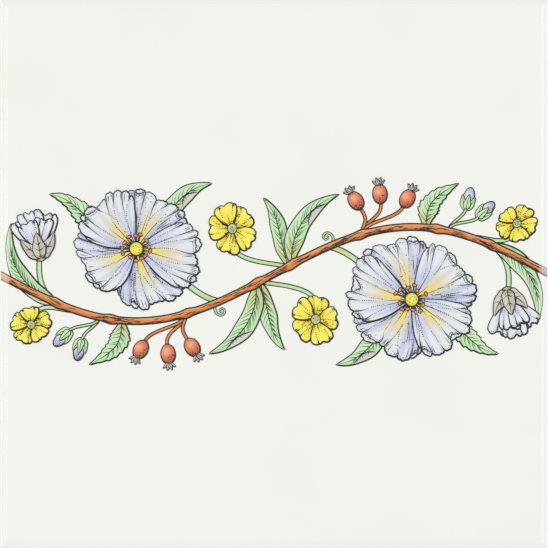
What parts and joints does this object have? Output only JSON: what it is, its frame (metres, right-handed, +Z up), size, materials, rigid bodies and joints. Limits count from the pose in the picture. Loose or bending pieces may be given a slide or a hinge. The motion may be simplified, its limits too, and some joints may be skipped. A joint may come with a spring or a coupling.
{
  "type": "border tile",
  "caption": "Square glazed ceramic wall tile with a cushioned rim, a floral band printed across its face and a pressed lattice key on its back.",
  "frame": {"origin": "middle of the bedding plane, under the middle of the tile", "axes": "+Z up out of the glazed face, +X along the run of the border, +Y up the wall when the tile is fixed"},
  "size_m": [0.152, 0.152, 0.007],
  "materials": {
    "glazed_ceramic": "glossy off-white glaze, bare biscuit back"
  },
  "bodies": {
    "root": {"border_tile": "glazed_ceramic"}
  },
  "joints": []
}
